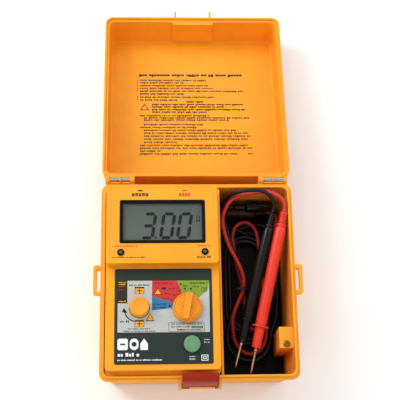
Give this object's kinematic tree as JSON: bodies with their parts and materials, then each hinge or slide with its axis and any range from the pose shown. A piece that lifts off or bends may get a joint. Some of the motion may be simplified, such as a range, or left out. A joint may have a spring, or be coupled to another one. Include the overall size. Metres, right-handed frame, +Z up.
{
  "type": "insulation resistance tester",
  "caption": "Portable insulation resistance tester in a hinged plastic box with a latch, a digital display module and a compartment that holds its test leads.",
  "frame": {"origin": "under the middle of the whole object's bounding box, with the lid lying open, on the surface that it stands on", "axes": "+Z up, +X to the operator's right, +Y from the latch towards the hinge and the open lid"},
  "size_m": [0.177, 0.3596, 0.076],
  "materials": {
    "orange_plastic": "fine-textured moulded orange-yellow plastic, satin",
    "black_plastic": "moulded black plastic",
    "red_plastic": "moulded dark red plastic, satin",
    "steel": "plated steel",
    "foot_rubber": "soft dark rubber",
    "clear_window": "clear acrylic",
    "lcd_glass": "grey liquid-crystal glass",
    "label_film": "printed dark grey-green film",
    "green_plastic": "moulded grey-green plastic",
    "circuit_board": "green solder mask",
    "core_steel": "varnished laminations",
    "cell_sleeve": "printed foil sleeve",
    "lead_red": "soft glossy red insulation",
    "lead_black": "soft glossy black insulation",
    "probe_metal": "pale plated brass",
    "tie_rubber": "black tie band"
  },
  "bodies": {
    "base": {"base_shell": "orange_plastic", "hinge_pin_left": "steel", "hinge_pin_right": "steel", "latch_pin": "steel", "foot_1": "foot_rubber", "foot_2": "foot_rubber", "foot_3": "foot_rubber", "foot_4": "foot_rubber", "meter_housing": "orange_plastic", "display_bezel": "black_plastic", "display_window": "clear_window", "lcd_module": "lcd_glass", "front_plate": "label_film", "live_led": "black_plastic", "power_led": "black_plastic", "earth_jack": "black_plastic", "line_jack": "red_plastic", "rotary_switch_body": "black_plastic", "test_switch": "black_plastic", "test_spring": "steel", "power_switch": "black_plastic", "main_board": "circuit_board", "step_up_transformer": "core_steel", "buzzer": "black_plastic", "battery_tray": "black_plastic", "battery_1": "cell_sleeve", "battery_2": "cell_sleeve", "battery_3": "cell_sleeve", "battery_4": "cell_sleeve", "battery_5": "cell_sleeve", "battery_6": "cell_sleeve", "battery_cover": "orange_plastic", "battery_cover_screw": "steel", "housing_screw_1": "steel", "housing_screw_2": "steel", "housing_screw_3": "steel", "housing_screw_4": "steel", "compartment_screw": "steel"},
    "lid": {"lid_shell": "orange_plastic"},
    "latch": {"latch": "red_plastic"},
    "knob": {"function_knob": "orange_plastic", "knob_shaft": "steel"},
    "test_slider": {"test_plunger": "black_plastic"},
    "test_cap": {"test_button": "orange_plastic"},
    "power_cap": {"power_button": "green_plastic"},
    "lead_set": {"red_probe": "lead_red", "red_probe_tip": "probe_metal", "black_probe": "lead_black", "black_probe_tip": "probe_metal", "red_plug": "lead_red", "red_plug_pin": "steel", "black_plug": "lead_black", "black_plug_pin": "steel", "red_lead": "lead_red", "black_lead": "lead_black", "red_lead_end": "lead_red", "black_lead_end": "lead_black", "red_lead_hank": "lead_red", "black_lead_hank": "lead_black", "lead_tie": "tie_rubber"}
  },
  "joints": [
    {"name": "lid_hinge", "type": "hinge", "parent": "base", "child": "lid", "pos_m": [0, 0.00028, 0.056], "axis": [-1, 0, 0], "range_deg": [-186.79, 0]},
    {"name": "latch_pivot", "type": "hinge", "parent": "base", "child": "latch", "pos_m": [0, -0.17617, 0.044], "axis": [1, 0, 0], "range_deg": [0, 110]},
    {"name": "knob_turn", "type": "hinge", "parent": "base", "child": "knob", "pos_m": [-0.0101, -0.11547, 0.07], "axis": [0, 0, 1], "range_deg": [0, 100]},
    {"name": "test_press", "type": "slide", "parent": "base", "child": "test_slider", "axis": [0, 0, -1], "range_m": [0, 0.003], "stiffness_N_per_m": 400, "springref_m": -0.002, "deforming": ["test_spring"]},
    {"name": "test_lock", "type": "hinge", "parent": "test_slider", "child": "test_cap", "pos_m": [-0.0495, -0.11507, 0.068], "axis": [0, 0, -1], "range_deg": [0, 60]},
    {"name": "power_press", "type": "slide", "parent": "base", "child": "power_cap", "axis": [0, 0, -1], "range_m": [0, 0.0025], "stiffness_N_per_m": 500, "springref_m": -0.002},
    {"name": "leads_out", "type": "slide", "parent": "base", "child": "lead_set", "axis": [0, 0, 1], "range_m": [0, 0.09]}
  ]
}
